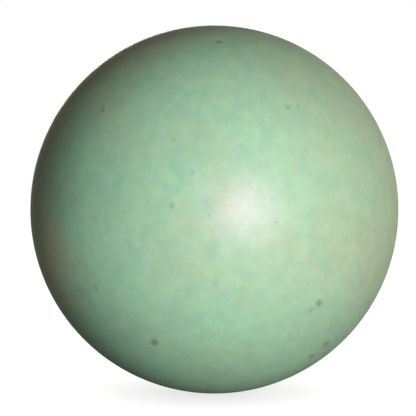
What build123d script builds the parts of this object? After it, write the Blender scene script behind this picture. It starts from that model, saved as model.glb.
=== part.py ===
from build123d import *
import math
import os

# Cue ball of the kind made for coin-operated pool tables. It is a solid ball, cast in three
# layers that are bonded to each other over their whole faces:
#   core            the first casting, a plain solid ball
#   magnetic_layer  a thin shell of iron-filled resin, which the table's ball return feels
#   outer_casting   the hard, polished resin that is played on
# Nothing moves inside it. Millimetres, +Z up, with the origin at the ball's centre.

# Driving dimensions
BALL_DIAMETER = 57.15  # regulation pool ball, 2 1/4 in
CASTING_WALL = 4.0  # polished face to iron, thick enough for the ball to be reground
MAGNETIC_WALL = 2.0  # iron-filled resin, the same all round so that the ball rolls true
BOND_GAP = 0.0  # each layer is cast against the one inside it, so their faces touch

# Radii that follow from them, from the face inwards
BALL_RADIUS = BALL_DIAMETER / 2
CASTING_BORE_RADIUS = BALL_RADIUS - CASTING_WALL
MAGNETIC_RADIUS = CASTING_BORE_RADIUS - BOND_GAP
MAGNETIC_BORE_RADIUS = MAGNETIC_RADIUS - MAGNETIC_WALL
CORE_RADIUS = MAGNETIC_BORE_RADIUS - BOND_GAP


def shell(outer_radius, bore_radius):
    """A closed ball with a ball-shaped hollow in its middle."""
    return Sphere(outer_radius) - Sphere(bore_radius)


def make_core():
    """The first casting, which fills the middle of the ball."""
    return Sphere(CORE_RADIUS)


def make_magnetic_layer():
    """The iron-filled shell, cast round the core."""
    return shell(MAGNETIC_RADIUS, MAGNETIC_BORE_RADIUS)


def make_outer_casting():
    """The hard resin shell, cast last, then ground round and polished."""
    return shell(BALL_RADIUS, CASTING_BORE_RADIUS)


LAYERS = {
    "core": make_core(),
    "magnetic_layer": make_magnetic_layer(),
    "outer_casting": make_outer_casting(),
}

os.makedirs("parts", exist_ok=True)
for name, layer in LAYERS.items():
    export_step(layer, f"parts/{name}.step")
    reach = layer.bounding_box().size.X / 2
    print(f"{name}: radius {reach:.3f} mm, volume {layer.volume / 1000:.2f} cm3")

filled = sum(layer.volume for layer in LAYERS.values())
whole = 4 / 3 * math.pi * BALL_RADIUS**3
print(f"the layers fill {filled / whole:.4%} of the ball")
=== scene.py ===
# %% [markdown]
# # An old green cue ball
#
# A cue ball looks like the simplest thing there is to model, and a plain sphere is the wrong
# answer. The real one is cast from phenolic resin, ground round and polished. A ball that has
# been played for years shows all three steps: cloudy colour from the casting, pinholes where
# the grinding opened tiny bubbles, and a polish that has gone soft.
#
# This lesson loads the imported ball, skins its outer casting with a mesh that has real pinholes,
# gives each of its three layers a material, and lights it as a photographer would.
# Everything is in metres, with the ball's centre at the origin and +Z up.

# %% Load the frame
import math

import bmesh
import bpy
import numpy as np
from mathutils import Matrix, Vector
from mathutils.kdtree import KDTree


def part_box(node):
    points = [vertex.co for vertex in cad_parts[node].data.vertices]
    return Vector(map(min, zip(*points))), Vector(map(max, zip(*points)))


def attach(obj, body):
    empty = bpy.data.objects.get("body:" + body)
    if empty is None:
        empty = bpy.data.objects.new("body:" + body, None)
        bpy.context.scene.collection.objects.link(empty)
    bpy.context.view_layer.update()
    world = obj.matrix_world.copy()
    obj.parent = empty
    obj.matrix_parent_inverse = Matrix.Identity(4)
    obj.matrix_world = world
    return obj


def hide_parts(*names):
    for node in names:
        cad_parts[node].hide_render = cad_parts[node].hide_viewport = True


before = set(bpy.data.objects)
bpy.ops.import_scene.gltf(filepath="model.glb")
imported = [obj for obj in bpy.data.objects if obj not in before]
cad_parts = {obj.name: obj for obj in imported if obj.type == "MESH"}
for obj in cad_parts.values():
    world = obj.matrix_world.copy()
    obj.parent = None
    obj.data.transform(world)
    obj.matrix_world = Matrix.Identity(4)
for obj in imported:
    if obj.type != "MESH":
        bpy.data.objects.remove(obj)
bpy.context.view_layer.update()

MM = 0.001  # one millimetre
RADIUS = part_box("outer_casting")[1].z
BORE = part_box("magnetic_layer")[1].z
print(f"ball radius {RADIUS / MM:.3f} mm, bore radius {BORE / MM:.3f} mm")

# %% [markdown]
# ## Helpers for every node
#
# Geometry Nodes and materials are both trees of nodes. One small function serves them both: it
# adds a node, sets its settings, and fills its inputs. A value that is itself a socket is
# linked, and anything else is the input's own number.

# %% Add a node


def node(tree, kind, settings=None, inputs=None):
    """Adds a node to a tree, with its settings, and links or sets its inputs."""
    made = tree.nodes.new(kind)
    made.location.x = 200 * len(tree.nodes)
    for name, value in (settings or {}).items():
        setattr(made, name, value)
    for key, value in (inputs or {}).items():
        if isinstance(value, bpy.types.NodeSocket):
            tree.links.new(value, made.inputs[key])
        else:
            made.inputs[key].default_value = value
    return made


# %% [markdown]
# Three kinds of node are used so often that each gets a name of its own: sums on numbers, sums on
# vectors, and a step that carries a value smoothly from one range to another.

# %% Sums and smooth steps


def maths(tree, operation, *values):
    """A sum on numbers, such as ADD or MULTIPLY, and its result."""
    inputs = dict(enumerate(values))
    return node(tree, "ShaderNodeMath", {"operation": operation}, inputs).outputs[0]


def on_vectors(tree, operation, *values, scale=None):
    """A sum on vectors, such as NORMALIZE or SCALE, and its result."""
    inputs = dict(enumerate(values))
    if scale is not None:
        inputs["Scale"] = scale
    made = node(tree, "ShaderNodeVectorMath", {"operation": operation}, inputs)
    gives_number = operation in ("DOT_PRODUCT", "DISTANCE", "LENGTH")
    return made.outputs["Value" if gives_number else "Vector"]


def eased(tree, value, source, target=(0.0, 1.0)):
    """Carries a value from one range to another, eased at both ends and held beyond them."""
    return node(tree, "ShaderNodeMapRange", {"interpolation_type": "SMOOTHSTEP"}, {
        "Value": value, "From Min": source[0], "From Max": source[1],
        "To Min": target[0], "To Max": target[1]}).outputs[0]


# %% [markdown]
# A Geometry Nodes tree is like a function: its named inputs are the sizes that a person may
# want to change. `shape_tree` starts such a tree, and `grow` runs it on an object and keeps the
# result as a plain mesh, so that nothing is left that has to be worked out again later.

# %% Start a tree, and run one
SOCKETS = {
    float: "NodeSocketFloat", int: "NodeSocketInt", bpy.types.Object: "NodeSocketObject",
    bpy.types.Material: "NodeSocketMaterial"}


def shape_tree(name, inputs):
    """A Geometry Nodes tree with a geometry in and out, and one input for each name and type."""
    tree = bpy.data.node_groups.new(name, "GeometryNodeTree")
    face = tree.interface
    face.new_socket("Geometry", in_out="INPUT", socket_type="NodeSocketGeometry")
    for label, kind in inputs.items():
        face.new_socket(label, in_out="INPUT", socket_type=SOCKETS[kind])
    face.new_socket("Geometry", in_out="OUTPUT", socket_type="NodeSocketGeometry")
    return tree, tree.nodes.new("NodeGroupInput").outputs


def grow(name, mesh, tree, values):
    """Runs a tree on a mesh, with its inputs set, and returns an object with the plain result."""
    worker = bpy.data.objects.new(name + "_worker", mesh)
    bpy.context.scene.collection.objects.link(worker)
    modifier = worker.modifiers.new(tree.name, "NODES")
    modifier.node_group = tree
    sockets = {s.name: s.identifier for s in tree.interface.items_tree if s.in_out == "INPUT"}
    for label, value in values.items():
        modifier[sockets[label]] = value
    ready = bpy.context.evaluated_depsgraph_get()
    result = bpy.data.meshes.new_from_object(worker.evaluated_get(ready), depsgraph=ready)
    for i in reversed(range(len(result.materials))):  # a cube node leaves an empty slot
        if result.materials[i] is None:
            result.materials.pop(index=i)
    bpy.data.objects.remove(worker)
    grown = bpy.data.objects.new(name, result)
    grown.data.name = name
    bpy.context.scene.collection.objects.link(grown)
    return grown


# %% [markdown]
# ## The blank: a ball without poles
#
# Blender's own UV sphere crowds its faces at two poles, and an ico sphere has no square cells to
# split evenly. A cube's grid, blown up on to a ball, has neither fault. If the grid is only pushed
# out, the cells near the cube's corners come out small, so each coordinate is first bent by a
# tangent. That makes equal steps on the cube equal angles on the ball.

# %% The tree for the blank
QUARTER = math.pi / 4
COARSE = 24  # cells across where a ball is only a base or a back wall


def ball_grid(tree, radius, cells):
    """Nodes that make a ball of that radius, with that many cells along each edge of the cube."""
    corners = maths(tree, "ADD", cells, 1.0)
    cube = node(tree, "GeometryNodeMeshCube", {}, {
        "Size": (2, 2, 2), "Vertices X": corners, "Vertices Y": corners, "Vertices Z": corners})
    place = node(tree, "GeometryNodeInputPosition").outputs[0]
    angle = on_vectors(tree, "SCALE", place, scale=QUARTER)
    outward = on_vectors(tree, "NORMALIZE", on_vectors(tree, "TANGENT", angle))
    return node(tree, "GeometryNodeSetPosition", {}, {
        "Geometry": cube.outputs["Mesh"],
        "Position": on_vectors(tree, "SCALE", outward, scale=radius)}).outputs[0]


def finish_tree(tree, geometry, material):
    """The end of a tree that makes faces: real and smooth, in one material."""
    smooth = node(tree, "GeometryNodeSetShadeSmooth", {}, {"Geometry": geometry})
    real = node(tree, "GeometryNodeRealizeInstances", {}, {"Geometry": smooth.outputs[0]})
    dressed = node(tree, "GeometryNodeSetMaterial", {}, {
        "Geometry": real.outputs[0], "Material": material})
    node(tree, "NodeGroupOutput", {}, {"Geometry": dressed.outputs[0]})


blank_tree, given = shape_tree("ball_blank", {
    "Radius": float, "Cells": int, "Material": bpy.types.Material})
finish_tree(blank_tree, ball_grid(blank_tree, given["Radius"], given["Cells"]), given["Material"])

CELL = 0.7 * MM  # the plain skin's cells, small enough for a true outline
cells_across = round(RADIUS * 2 * QUARTER / CELL)
blank = grow("ball_blank", bpy.data.meshes.new("empty"), blank_tree,
             {"Radius": RADIUS, "Cells": cells_across})
print(f"blank: {len(blank.data.polygons)} faces, {cells_across} cells to a cube edge")

# %% [markdown]
# ## Where the pinholes are
#
# A pinhole is a bubble in the resin that the grinding cut open. Polish, chalk and dirt collect in
# it, so it shows as a small dark speck. The ones that a person would notice are listed one by one,
# by longitude and latitude as on a globe: longitude 0 faces the front, and runs positive to the
# right. Two or three that touch make a longer nick. The rest are strewn by a tree with a fixed
# seed. Most of those are very small, because a resin holds far more small bubbles than large ones.

# %% Pinholes listed one by one
PINHOLES = [  # longitude and latitude in degrees, diameter in millimetres, share of dirt
    (-24, -38.7, 0.90, 0.70), (37, -24.6, 0.85, 0.60), (55, -43, 1.10, 0.60), (51, -48, 0.90, 0.55),
    (4, 69, 0.90, 0.60), (-47, 36, 0.85, 0.50), (-13, 7, 0.80, 0.40), (-7, 17, 0.60, 0.25),
    (29, 38, 0.80, 0.30), (-42, -20, 0.80, 0.35), (-14, 27, 0.60, 0.20), (9, -18, 0.50, 0.20),
    (35, -27, 0.60, 0.35), (-67, 11, 0.70, 0.35), (58, -3, 0.60, 0.20), (118, 24, 0.90, 0.75),
    (147, -33, 0.80, 0.60), (-162, 12, 0.95, 0.80), (-131, -18, 0.75, 0.45), (-104, 44, 0.85, 0.60),
    (171, 51, 0.70, 0.45), (96, -14, 0.65, 0.35), (-148, -52, 0.90, 0.70), (58, -44.5, 0.90, 0.45),
    (52.4, -42, 0.80, 0.40), (53.2, -49.2, 0.80, 0.40), (-24.6, -39.6, 0.80, 0.65),
    (37.8, -25.2, 0.80, 0.55),
]


def on_globe(longitude, latitude):
    """The direction from the ball's centre to a place on it, given in degrees."""
    east, north = math.radians(longitude), math.radians(latitude)
    return Vector((math.sin(east) * math.cos(north), -math.cos(east) * math.cos(north),
                   math.sin(north)))


chosen = bpy.data.meshes.new("pinholes_by_hand")
chosen.from_pydata([on_globe(*spot[:2]) * RADIUS for spot in PINHOLES], [], [])
chosen.attributes.new("width", "FLOAT", "POINT").data.foreach_set(
    "value", [spot[2] * MM for spot in PINHOLES])
chosen.attributes.new("dirt", "FLOAT", "POINT").data.foreach_set(
    "value", [spot[3] for spot in PINHOLES])
print(f"{len(PINHOLES)} pinholes by hand")

# %% The tree that strews the rest
SKEW = 3.0  # how strongly the small ones outnumber the large
strew_tree, given = shape_tree("strewn_pinholes", {
    "Radius": float, "Spacing": float, "Density": float, "Smallest": float, "Largest": float,
    "Dirt": float, "Seed": int})
points = node(strew_tree, "GeometryNodeDistributePointsOnFaces", {"distribute_method": "POISSON"}, {
    "Mesh": ball_grid(strew_tree, given["Radius"], COARSE), "Distance Min": given["Spacing"],
    "Density Max": given["Density"], "Seed": given["Seed"]})
chance = node(strew_tree, "FunctionNodeRandomValue", {"data_type": "FLOAT"}, {
    "Seed": given["Seed"]}).outputs[1]
rarity = maths(strew_tree, "POWER", chance, SKEW)
width = node(strew_tree, "ShaderNodeMapRange", {}, {
    "Value": rarity, "To Min": given["Smallest"], "To Max": given["Largest"]})
sized = node(strew_tree, "GeometryNodeStoreNamedAttribute", {"data_type": "FLOAT"}, {
    "Geometry": points.outputs["Points"], "Name": "width", "Value": width.outputs[0]})
dirtied = node(strew_tree, "GeometryNodeStoreNamedAttribute", {"data_type": "FLOAT"}, {
    "Geometry": sized.outputs[0], "Name": "dirt",
    "Value": maths(strew_tree, "MULTIPLY", rarity, given["Dirt"])})
strewn = node(strew_tree, "GeometryNodePointsToVertices", {}, {"Points": dirtied.outputs[0]})
both = node(strew_tree, "GeometryNodeJoinGeometry", {}, {"Geometry": strewn.outputs[0]})
strew_tree.links.new(given["Geometry"], both.inputs[0])
node(strew_tree, "NodeGroupOutput", {}, {"Geometry": both.outputs[0]})

pinholes = grow("pinholes", chosen, strew_tree, {
    "Radius": RADIUS, "Spacing": 4 * MM, "Density": 0.009 / MM**2, "Smallest": 0.2 * MM,
    "Largest": 0.45 * MM, "Dirt": 0.35, "Seed": 5})
spots = [v.co.normalized() * RADIUS for v in pinholes.data.vertices]
pinholes.data.vertices.foreach_set("co", np.array(spots).ravel())
spot_widths = [w.value for w in pinholes.data.attributes["width"].data]
print(f"pinholes: {len(spots)}, from {min(spot_widths) / MM:.2f} to {max(spot_widths) / MM:.2f} mm")

# %% [markdown]
# ## Finer faces, only where they are needed
#
# A pinhole is smaller than one cell of the blank. If the whole ball were fine enough to hold it,
# the mesh would have millions of faces. So faces are split in four only round each pinhole, again
# and again, until about six cells go across it, and each round reaches less far than the last.
# Splitting a face puts the new corners on the flat face, so afterwards every corner is moved out
# on to the true ball.

# %% Split the faces round the pinholes
ACROSS = 6  # cells across a pinhole
MOST_ROUNDS = 4
SEARCH = 2.5 * MM  # no pinhole matters to a face farther off than this
COVERED = 0.95  # how far from its middle a pinhole needs fine faces, in widths
tree_of_spots = KDTree(len(spots))
for i, spot in enumerate(spots):
    tree_of_spots.insert(spot, i)
tree_of_spots.balance()


def wants_splitting(face, cell):
    """Whether a face whose cells are this wide is too coarse for a pinhole near it."""
    for _, i, gap in tree_of_spots.find_range(face.calc_center_median(), SEARCH):
        if cell > spot_widths[i] / ACROSS and gap < COVERED * spot_widths[i] + cell:
            return True
    return False


skin = bmesh.new()
skin.from_mesh(blank.data)
for turn in range(MOST_ROUNDS):
    coarse = [f for f in skin.faces if wants_splitting(f, CELL / 2**turn)]
    edges = list({e for f in coarse for e in f.edges})
    bmesh.ops.subdivide_edges(skin, edges=edges, cuts=1, use_grid_fill=True)
    for v in skin.verts:
        v.co = v.co.normalized() * RADIUS
    print(f"round {turn + 1}: {len(coarse)} faces split, {len(skin.faces)} in all")
skin.to_mesh(blank.data)
skin.free()

# %% [markdown]
# ## Press the pinholes in, and add the wall behind
#
# The last tree looks up the nearest pinhole to each corner of the skin, and sinks the corner into
# a round bowl whose depth is a share of the pinhole's width. It also remembers, as an attribute
# called `grime`, how near the corner is to the pinhole and how dirty that pinhole is, which the
# material will read. Then it adds the inside of the casting, where the magnetic layer lies: the
# same grid, smaller and coarser, and turned to face the hollow.

# %% Find the nearest pinhole
casting_tree, given = shape_tree("outer_casting", {
    "Radius": float, "Bore": float, "Pinholes": bpy.types.Object, "Depth": float,
    "Material": bpy.types.Material})
place = node(casting_tree, "GeometryNodeInputPosition").outputs[0]
holes = node(casting_tree, "GeometryNodeObjectInfo", {}, {
    "Object": given["Pinholes"]}).outputs["Geometry"]
nearest = node(casting_tree, "GeometryNodeSampleNearest", {}, {
    "Geometry": holes, "Sample Position": place}).outputs[0]
middle = node(casting_tree, "GeometryNodeSampleIndex", {"data_type": "FLOAT_VECTOR"}, {
    "Geometry": holes, "Value": place, "Index": nearest}).outputs[0]


def of_nearest(name):
    """The nearest pinhole's own value of that name."""
    stored = node(casting_tree, "GeometryNodeInputNamedAttribute", {"data_type": "FLOAT"}, {
        "Name": name}).outputs[0]
    return node(casting_tree, "GeometryNodeSampleIndex", {"data_type": "FLOAT"}, {
        "Geometry": holes, "Value": stored, "Index": nearest}).outputs[0]


width, dirt = of_nearest("width"), of_nearest("dirt")
gap = on_vectors(casting_tree, "DISTANCE", place, middle)
reach = maths(casting_tree, "DIVIDE", gap, maths(casting_tree, "MULTIPLY", width, 0.5))
print(f"{casting_tree.name}: {len(casting_tree.nodes)} nodes to find the nearest pinhole")

# %% [markdown]
# `reach` is 0 in the middle of a pinhole and 1 at its rim. A smooth step from the rim to the
# middle gives the bowl, and a wider one gives the grime, which spreads past the rim.

# %% Sink the bowls and store the grime
RIM, BOTTOM, GRIME_ENDS = 1.0, 0.1, 2.1  # all as `reach` counts
bowl = eased(casting_tree, reach, (RIM, BOTTOM))
grime = eased(casting_tree, reach, (GRIME_ENDS, 0.0), (0.0, dirt))
deepest = maths(casting_tree, "MULTIPLY", width, given["Depth"])
sunk = maths(casting_tree, "MULTIPLY", bowl, deepest)
how_far_out = maths(casting_tree, "SUBTRACT", given["Radius"], sunk)
outward = on_vectors(casting_tree, "NORMALIZE", place)
marked = node(casting_tree, "GeometryNodeStoreNamedAttribute", {"data_type": "FLOAT"}, {
    "Geometry": given["Geometry"], "Name": "grime", "Value": grime})
face_of_ball = node(casting_tree, "GeometryNodeSetPosition", {}, {
    "Geometry": marked.outputs[0],
    "Position": on_vectors(casting_tree, "SCALE", outward, scale=how_far_out)})
back_wall = node(casting_tree, "GeometryNodeFlipFaces", {}, {
    "Mesh": ball_grid(casting_tree, given["Bore"], COARSE)})
casting = node(casting_tree, "GeometryNodeJoinGeometry", {}, {"Geometry": back_wall.outputs[0]})
casting_tree.links.new(face_of_ball.outputs[0], casting.inputs[0])
finish_tree(casting_tree, casting.outputs[0], given["Material"])
print(f"{casting_tree.name}: {len(casting_tree.nodes)} nodes in all")

# %% [markdown]
# ## Materials
#
# Colours are written as the hex values that a screen shows, and Blender wants them as amounts of
# light, so one function turns them. Each material starts with `finish`, which gives it a
# Principled shader and the object's own coordinates in millimetres. A noise whose blobs are to
# be about 3 mm wide then simply gets a scale of 1/3.

# %% Colour, and the start of a material
MOST_NOISE = (0.3, 0.7)  # the range in which most of a noise's values lie
PHENOLIC = 1.65  # the resin's index of refraction


def linear(hex_colour):
    """A colour written as #RRGGBB, as the linear red, green, blue and alpha that Blender uses."""
    shares = [int(hex_colour[i:i + 2], 16) / 255 for i in (1, 3, 5)]
    return (*(s / 12.92 if s <= 0.04045 else ((s + 0.055) / 1.055) ** 2.4 for s in shares), 1.0)


def finish(name, roughness, ior):
    """A new material: its tree, its shader, and the object's coordinates in millimetres."""
    material = bpy.data.materials.new(name)
    material.use_nodes = True
    tree = material.node_tree
    shader = tree.nodes["Principled BSDF"]
    shader.inputs["Roughness"].default_value = roughness
    shader.inputs["IOR"].default_value = ior
    place = node(tree, "ShaderNodeTexCoord").outputs["Object"]
    return material, tree, shader, on_vectors(tree, "SCALE", place, scale=1 / MM)


def blobs(tree, place, width, detail=2.0, warp=0.0, seed=0.0):
    """Noise whose blobs are about that many millimetres wide, from 0 to 1. It is turned, so that
    its hidden lattice never lines up with the ball's axes."""
    turned = node(tree, "ShaderNodeMapping", {}, {
        "Vector": place, "Location": (seed, seed, seed), "Rotation": (0.6, 0.45, 1.1)})
    return node(tree, "ShaderNodeTexNoise", {}, {
        "Vector": turned.outputs[0], "Scale": 1 / width, "Detail": detail,
        "Distortion": warp}).outputs[0]


def mixed(tree, amount, first, second):
    """Two colours mixed by an amount from 0 to 1."""
    mix = node(tree, "ShaderNodeMix", {"data_type": "RGBA"}, {0: amount, 6: first, 7: second})
    return mix.outputs[2]


# %% [markdown]
# ### Cast phenolic resin, polished and long played
#
# Phenolic resin is opaque and hard, with an index of about 1.65, and it polishes like glass.
# Years of play haze that polish, which spreads the highlight into a soft patch. Its green was
# stirred in by hand before casting, so it clouds between a bluish and a yellowish green, in
# blobs of a few millimetres. Over that lies painted light: the green is painted warmer and
# yellower towards the lit right side, and cooler and brighter towards the shaded left.

# %% The outer casting's colour
# Painted light: the first green is the shaded left side's, cooler and brighter, and the second is
# the lit right side's, warmer and yellower.
SHADE_SIDE_GREEN, LIT_SIDE_GREEN = linear("#AFF0CA"), linear("#BED9B4")
TEAL_CLOUD, OLIVE_CLOUD = linear("#98DABF"), linear("#C4DDA9")
PAINTED_LIGHT_SIDE = Vector((0.9, -0.2, 0.25)).normalized()
DRIFT_SHARE = 0.35  # how much the broad random drift moves the colour between the shade-side and lit-side greens

resin, tree, shader, in_mm = finish("cast phenolic resin, polished and played", 0.4, PHENOLIC)
edge = RADIUS / MM
# Painted light: the colour runs from the shade-side green on the left to the warmer lit-side green
# on the right.
painted_side_light = node(tree, "ShaderNodeMapRange", {}, {
    "Value": on_vectors(tree, "DOT_PRODUCT", in_mm, PAINTED_LIGHT_SIDE),
    "From Min": -edge, "From Max": edge}).outputs[0]
drift = eased(tree, blobs(tree, in_mm, width=13.0, detail=1.0, seed=31.0), MOST_NOISE, (-0.5, 0.5))
drift_and_painted_light = node(tree, "ShaderNodeMath", {"operation": "MULTIPLY_ADD", "use_clamp": True}, {
    0: drift, 1: DRIFT_SHARE, 2: painted_side_light}).outputs[0]
green_with_painted_light = mixed(tree, drift_and_painted_light, SHADE_SIDE_GREEN, LIT_SIDE_GREEN)
teal = eased(tree, blobs(tree, in_mm, width=3.0, warp=0.4), (0.45, 0.8), (0.0, 0.5))
olive = eased(tree, blobs(tree, in_mm, width=2.6, warp=0.4, seed=19.0), (0.5, 0.8), (0.0, 0.4))
green = mixed(tree, olive, mixed(tree, teal, green_with_painted_light, TEAL_CLOUD), OLIVE_CLOUD)
print(f"{resin.name}: {len(tree.nodes)} nodes for the clouded green")

# %% [markdown]
# Two more layers go over the green: a grain from the filler in the resin, which only makes it
# lighter or darker, and the grime of the pinholes, which covers it. A shine adds to the green
# under it, so a white one would look mint. This one is tinted a little rosy, and the two together
# come out nearly white.

# %% Grain and grime
GRIME = linear("#757F69")
ROSY = (1.0, 0.42, 0.76, 1.0)

grain = eased(tree, blobs(tree, in_mm, width=0.5, detail=1.0, seed=7.0), MOST_NOISE, (0.98, 1.02))
depth = eased(tree, blobs(tree, in_mm, width=2.2, seed=43.0), (0.25, 0.75), (0.955, 1.045))
grained = on_vectors(tree, "SCALE", green, scale=maths(tree, "MULTIPLY", grain, depth))
grime_near = node(tree, "ShaderNodeAttribute", {"attribute_name": "grime"}).outputs["Fac"]
tree.links.new(mixed(tree, grime_near, grained, GRIME), shader.inputs["Base Color"])
shader.inputs["Specular Tint"].default_value = ROSY
print(f"{resin.name}: {len(tree.nodes)} nodes with the grain and grime")

# %% [markdown]
# The polish is not even. Broad patches are more rubbed than others, and the dirt in a pinhole has
# no polish at all. A thin film of chalk and dust lies over everything. Where the ball is seen at a
# slant, the eye looks along the film and through more of it, so the shine is duller there. A
# faint ripple keeps the highlight from being a perfect round.

# %% Worn polish
POLISH, HAZE = (0.38, 0.42), (0.0, 0.26)  # roughness face on, and what a slant adds to it
DIRT_DULLS = 0.35

rub = blobs(tree, in_mm, width=6.0, detail=3.0, warp=0.6, seed=57.0)
dull = maths(tree, "MULTIPLY_ADD", grime_near, DIRT_DULLS, eased(tree, rub, MOST_NOISE, POLISH))
slant = node(tree, "ShaderNodeLayerWeight", {}, {"Blend": 0.5}).outputs["Facing"]
hazed = maths(tree, "ADD", dull, eased(tree, slant, (0.5, 0.8), HAZE))
tree.links.new(hazed, shader.inputs["Roughness"])
worn = node(tree, "ShaderNodeBump", {}, {
    "Height": blobs(tree, in_mm, width=1.6, detail=4.0, seed=83.0),
    "Strength": 0.25, "Distance": 0.02 * MM})
tree.links.new(worn.outputs[0], shader.inputs["Normal"])
print(f"{resin.name}: {len(tree.nodes)} nodes in all")

# %% [markdown]
# ### The two inner layers
#
# They are sealed in and never seen on a whole ball, but a cut-away view shows them. The magnetic
# layer is resin so full of iron powder that it is nearly black, with a faint glint from the
# grains. The core is the same family of resin with a pale filler, left as it came from the mould.

# %% Iron-filled resin and the core's resin
iron_resin, tree, shader, in_mm = finish("iron-filled phenolic resin, as cast", 0.6, PHENOLIC)
grit = eased(tree, blobs(tree, in_mm, width=0.3), (0.35, 0.75))
tree.links.new(mixed(tree, grit, linear("#2B2827"), linear("#5A534E")), shader.inputs["Base Color"])
tree.links.new(eased(tree, grit, (0.0, 1.0), (0.7, 0.4)), shader.inputs["Roughness"])

core_resin, tree, shader, in_mm = finish("filled phenolic resin, as cast", 0.55, PHENOLIC)
flow = eased(tree, blobs(tree, in_mm, width=9.0, detail=3.0, warp=1.5), MOST_NOISE)
tree.links.new(mixed(tree, flow, linear("#CDBE9B"), linear("#E0D6BC")), shader.inputs["Base Color"])
print(f"{iron_resin.name}; {core_resin.name}")

# %% [markdown]
# ## Put the casting together
#
# Now the casting's tree can run, because its material exists. The result stands for the CAD
# node of the outer casting. The two inner layers keep their CAD shapes, which are right
# already, and only get their materials.

# %% The finished casting
PIT_DEPTH = 0.06  # as a share of a pinhole's width
casting = grow("played_casting", blank.data, casting_tree, {
    "Radius": RADIUS, "Bore": BORE, "Pinholes": pinholes, "Depth": PIT_DEPTH, "Material": resin})
for helper in (blank, pinholes):
    bpy.data.objects.remove(helper)
triangles = sum(len(p.vertices) - 2 for p in casting.data.polygons)
print(f"casting: {triangles} triangles")

for name, material in (("magnetic_layer", iron_resin), ("core", core_resin)):
    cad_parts[name].material_slots[0].material = material

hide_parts("outer_casting")
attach(casting, "root")

# %% [markdown]
# ### Round normals
#
# Where small faces meet large ones, Blender's average of the faces around a corner tips its
# normal a little. On a shiny ball the eye catches that at once. A ball's true normal is the
# direction from its centre, so corners outside the pinholes are simply given that.

# %% True normals outside the pinholes
ON_THE_FACE = 1e-7  # a corner that is no deeper than this was never sunk, in metres


def corner_values(name):
    """One kind of vector for every corner of the casting, as an array with three columns."""
    values = np.empty(len(casting.data.vertices) * 3, np.float32)
    casting.data.vertices.foreach_get(name, values)
    return values.reshape(-1, 3)


places, normals = corner_values("co"), corner_values("normal")
far_out = np.linalg.norm(places, axis=1)
untouched = far_out > RADIUS - ON_THE_FACE
normals[untouched] = places[untouched] / far_out[untouched, None]
casting.data.normals_split_custom_set_from_vertices(normals)
print(f"true normals on {untouched.sum()} of {len(places)} corners")

# %% [markdown]
# ## The camera
#
# The ball nearly fills the picture. A long lens from a good way off keeps it round and free of
# distortion. The camera stands almost level with the ball, and a hair aside, so that the ball
# sits just off the middle.

# %% Camera
ELEVATION = 6  # degrees above level
DISTANCE = 0.6
FILLS = 0.885  # the ball's share of the picture's width
OFF_RIGHT, OFF_DOWN = 0.98 * MM, 0.23 * MM  # how far from the middle the ball sits

toward_camera = on_globe(0, ELEVATION)
to_right = Vector((1, 0, 0))
upward = toward_camera.cross(to_right)
outline = math.tan(math.asin(RADIUS / DISTANCE))

camera_data = bpy.data.cameras.new("camera")
camera_data.lens = camera_data.sensor_width / 2 * FILLS / outline
camera_data.clip_start = 0.01
camera = bpy.data.objects.new("camera", camera_data)
bpy.context.scene.collection.objects.link(camera)
camera.location = toward_camera * DISTANCE - to_right * OFF_RIGHT + upward * OFF_DOWN
camera.rotation_euler = (-toward_camera).to_track_quat("-Z", "Y").to_euler()
bpy.context.scene.camera = camera
print(f"lens {camera_data.lens:.0f} mm")

# %% [markdown]
# ## The light
#
# One soft round lamp near the camera does most of the work. It stands a little to the right, so
# the highlight falls right of the middle and the left side goes dark. A weaker one behind the
# ball does the same for a view from the back. Two wide lamps, well round to the right and to the
# left, only open up the shadows. They are kept out of the shine, so that they add no highlights.

# %% Lamps


def lamp(name, right, up, distance, radius, level, colour=(1.0, 1.0, 1.0), shows=True):
    """A round lamp, placed by longitude and latitude on the same globe as the pinholes. At level
    1, a surface that faces it shows its own colour. One that doesn't show is in no reflection."""
    data = bpy.data.lights.new(name, "AREA")
    data.shape = "DISK"
    data.size = 2 * radius
    data.energy = level * (math.pi * distance) ** 2
    data.color = colour
    made = bpy.data.objects.new(name, data)
    bpy.context.scene.collection.objects.link(made)
    made.location = on_globe(right, up) * distance
    made.rotation_euler = (-on_globe(right, up)).to_track_quat("-Z", "Y").to_euler()
    made.visible_glossy = shows
    print(f"{name} lamp: {data.energy:.2f} W from {distance} m")


lamp("key", 18.3, 4, distance=0.3, radius=0.076, level=0.965)
lamp("side", 140, 8, distance=0.5, radius=0.15, level=0.34, colour=(1.0, 1.0, 0.95), shows=False)
lamp("left", -160, 10, distance=0.5, radius=0.15, level=0.2, colour=(1.0, 0.92, 0.85), shows=False)
lamp("back", 184, -2, distance=0.7, radius=0.12, level=0.55, colour=(1.0, 0.97, 0.93))

# %% [markdown]
# ## The tent
#
# A shiny ball shows the room at its edge, where it is seen at a slant. On a white ground that
# edge should be dark, or it is lost, so a photographer hangs dark paper all round. Here it is a
# dim brown ball of paper around everything, paler to the right and warmest straight behind the
# ball, where it draws a thin brown line round the outline. Its glow shows in a shine and hardly
# lights the ball. The camera looks through it from any side.

# %% Dark paper all round
TENT_RADIUS = 0.8
DIM_PAPER = (0.14, 0.115, 0.09, 1)  # its glow, in linear light
LIT_PAPER = (0.34, 0.36, 0.24, 1)
BACK_PAPER = (1.00, 0.50, 0.41, 1)
TO_THE_RIGHT = (0.94, -0.3, 0.15)
BACK_STARTS = 0.65  # how far back the warm part starts, as a share of the tent's radius
PAPER_SPILL = 0.12  # the share of the glow that lights the ball, rather than only showing in it

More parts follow.
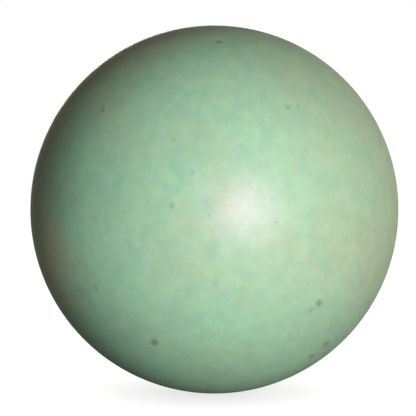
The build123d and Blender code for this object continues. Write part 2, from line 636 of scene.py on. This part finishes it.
paper, tree, shader, in_mm = finish("brown backdrop paper", 0.9, 1.5)
shader.inputs["Base Color"].default_value = (0, 0, 0, 1)
shader.inputs["Specular IOR Level"].default_value = 0.0
tent_edge = TENT_RADIUS / MM
bright = eased(tree, on_vectors(tree, "DOT_PRODUCT", in_mm, TO_THE_RIGHT), (0.0, tent_edge))
how_far_back = node(tree, "ShaderNodeSeparateXYZ", {}, {0: in_mm}).outputs["Y"]
behind = eased(tree, how_far_back, (BACK_STARTS * tent_edge, tent_edge))
glow = mixed(tree, behind, mixed(tree, bright, DIM_PAPER, LIT_PAPER), BACK_PAPER)
tree.links.new(glow, shader.inputs["Emission Color"])
in_shine = node(tree, "ShaderNodeLightPath").outputs["Is Glossy Ray"]
strength = node(tree, "ShaderNodeMapRange", {}, {"Value": in_shine, "To Min": PAPER_SPILL})
tree.links.new(strength.outputs[0], shader.inputs["Emission Strength"])

tent = grow("tent", bpy.data.meshes.new("empty"), blank_tree, {
    "Radius": TENT_RADIUS, "Cells": 12, "Material": paper})
tent.visible_camera = False
print(f"tent: {len(tent.data.polygons)} faces, {TENT_RADIUS} m in radius")

# %% [markdown]
# ## The floor and the white behind
#
# Both are white where the camera sees them, straight or through a clear thing. That white is
# made in their materials, so it sends no light on to the ball. Under the ball the floor's own
# white fades to a painted shadow, on top of the shadow that the lamps cast on the card. In a
# shine the card is dim close to the ball, a painted shadow in the reflection, and as brown as the
# paper farther off.

# %% Pale floor
FLOOR_RADIUS = 0.3
FLOOR_SIDES = 96
WHITE = (1, 1, 1, 1)
# Painted shadow: how white the floor stays right under the ball, and over what distance it fades
# back to full white.
PAINTED_SHADOW_WHITE = 0.76
PAINTED_SHADOW_FADES = (2, 26)  # in millimetres from the middle, and so is the next
SHINE_WARMS = (20, 80)
FAR_SHINE = (0.60, 0.29, 0.235, 1)  # what a shine shows of the card, well away from the ball


def largest(tree, first, *others):
    """The largest of several values."""
    for other in others:
        first = maths(tree, "MAXIMUM", first, other)
    return first


floor_shape = bmesh.new()
bmesh.ops.create_circle(floor_shape, cap_ends=True, segments=FLOOR_SIDES, radius=FLOOR_RADIUS)
for v in floor_shape.verts:
    v.co.z = -RADIUS
floor_mesh = bpy.data.meshes.new("floor")
floor_shape.to_mesh(floor_mesh)
floor_shape.free()
floor = bpy.data.objects.new("floor", floor_mesh)
bpy.context.scene.collection.objects.link(floor)

card, tree, shader, in_mm = finish("pale card", 0.9, 1.45)
shader.inputs["Base Color"].default_value = linear("#7E7E7C")
shader.inputs["Specular IOR Level"].default_value = 0.0
from_ball = on_vectors(tree, "LENGTH", on_vectors(tree, "MULTIPLY", in_mm, (1, 1, 0)))
path = node(tree, "ShaderNodeLightPath").outputs
# Painted shadow: the white that the camera sees on the floor fades darker towards the spot under
# the ball.
white_with_painted_shadow = eased(tree, from_ball, PAINTED_SHADOW_FADES, (PAINTED_SHADOW_WHITE, 1.0))
looked_at = largest(tree, path["Is Camera Ray"], path["Is Transmission Ray"])
shown = largest(tree, maths(tree, "MULTIPLY", white_with_painted_shadow, looked_at), path["Is Glossy Ray"])
tree.links.new(shown, shader.inputs["Emission Strength"])
# Painted shadow in the reflection: near the ball the card shows the dim paper, and farther off a
# warmer brown.
shine = mixed(tree, eased(tree, from_ball, SHINE_WARMS), DIM_PAPER, FAR_SHINE)
tree.links.new(mixed(tree, path["Is Glossy Ray"], WHITE, shine), shader.inputs["Emission Color"])
floor.data.materials.append(card)
print(f"floor: {FLOOR_RADIUS} m in radius, at {floor_mesh.vertices[0].co.z / MM:.3f} mm")

# %% White behind
world = bpy.data.worlds.new("white_behind")
bpy.context.scene.world = world
world.use_nodes = True
tree = world.node_tree
background = tree.nodes["Background"]
background.inputs["Color"].default_value = WHITE
path = node(tree, "ShaderNodeLightPath").outputs
seen = largest(tree, path["Is Camera Ray"], path["Is Glossy Ray"], path["Is Transmission Ray"])
tree.links.new(seen, background.inputs["Strength"])

bpy.context.scene.view_settings.view_transform = "Standard"
print(f"{world.name}: {len(tree.nodes)} nodes")
